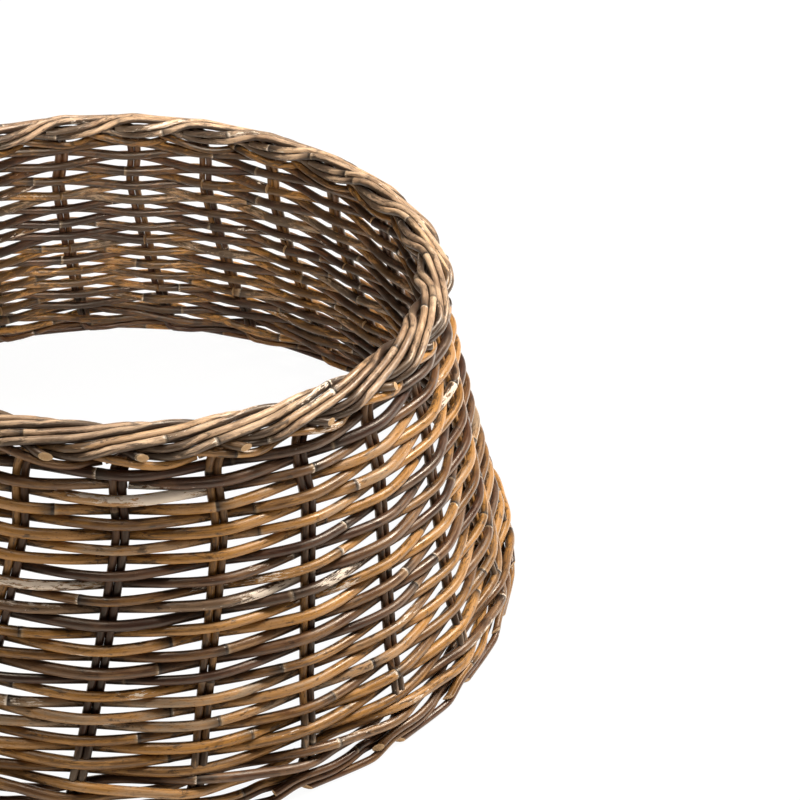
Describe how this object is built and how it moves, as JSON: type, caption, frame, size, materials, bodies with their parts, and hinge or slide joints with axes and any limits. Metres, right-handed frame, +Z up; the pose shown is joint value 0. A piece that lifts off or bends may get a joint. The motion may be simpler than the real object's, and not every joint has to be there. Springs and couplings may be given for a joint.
{
  "type": "christmas tree collar",
  "caption": "Round bottomless wicker ring that hides a Christmas tree stand, woven from cane over paired uprights that lean, with a rolled rim and a waled foot.",
  "frame": {"origin": "centre of the collar's ring, on the floor that it stands on", "axes": "+Z up along the axis of the ring, -Y the side nearest the camera in the picture, +X to the right seen from that side"},
  "size_m": [0.6332, 0.6332, 0.2677],
  "materials": {
    "stake_cane": "natural bark, satin, with pale cut ends",
    "weaver_cane": "natural bark, satin, mottled brown and grey",
    "band_cane": "natural bark, satin, mottled brown and grey"
  },
  "bodies": {
    "root": {"stake_pair_01": "stake_cane", "stake_pair_02": "stake_cane", "stake_pair_03": "stake_cane", "stake_pair_04": "stake_cane", "stake_pair_05": "stake_cane", "stake_pair_06": "stake_cane", "stake_pair_07": "stake_cane", "stake_pair_08": "stake_cane", "stake_pair_09": "stake_cane", "stake_pair_10": "stake_cane", "stake_pair_11": "stake_cane", "stake_pair_12": "stake_cane", "stake_pair_13": "stake_cane", "stake_pair_14": "stake_cane", "stake_pair_15": "stake_cane", "stake_pair_16": "stake_cane", "stake_pair_17": "stake_cane", "stake_pair_18": "stake_cane", "stake_pair_19": "stake_cane", "stake_pair_20": "stake_cane", "stake_pair_21": "stake_cane", "stake_pair_22": "stake_cane", "stake_pair_23": "stake_cane", "stake_pair_24": "stake_cane", "weaver_row_01": "weaver_cane", "weaver_row_02": "weaver_cane", "weaver_row_03": "weaver_cane", "weaver_row_04": "weaver_cane", "weaver_row_05": "weaver_cane", "weaver_row_06": "weaver_cane", "weaver_row_07": "weaver_cane", "weaver_row_08": "weaver_cane", "weaver_row_09": "weaver_cane", "weaver_row_10": "weaver_cane", "weaver_row_11": "weaver_cane", "weaver_row_12": "weaver_cane", "weaver_row_13": "weaver_cane", "weaver_row_14": "weaver_cane", "weaver_row_15": "weaver_cane", "weaver_row_16": "weaver_cane", "weaver_row_17": "weaver_cane", "weaver_row_18": "weaver_cane", "weaver_row_19": "weaver_cane", "weaver_row_20": "weaver_cane", "weaver_row_21": "weaver_cane", "weaver_row_22": "weaver_cane", "weaver_row_23": "weaver_cane", "weaver_row_24": "weaver_cane", "weaver_row_25": "weaver_cane", "weaver_row_26": "weaver_cane", "foot_wale_rod_1": "band_cane", "foot_wale_rod_2": "band_cane", "foot_wale_rod_3": "band_cane", "rim_twine_rod_1": "band_cane", "rim_twine_rod_2": "band_cane"}
  },
  "joints": []
}
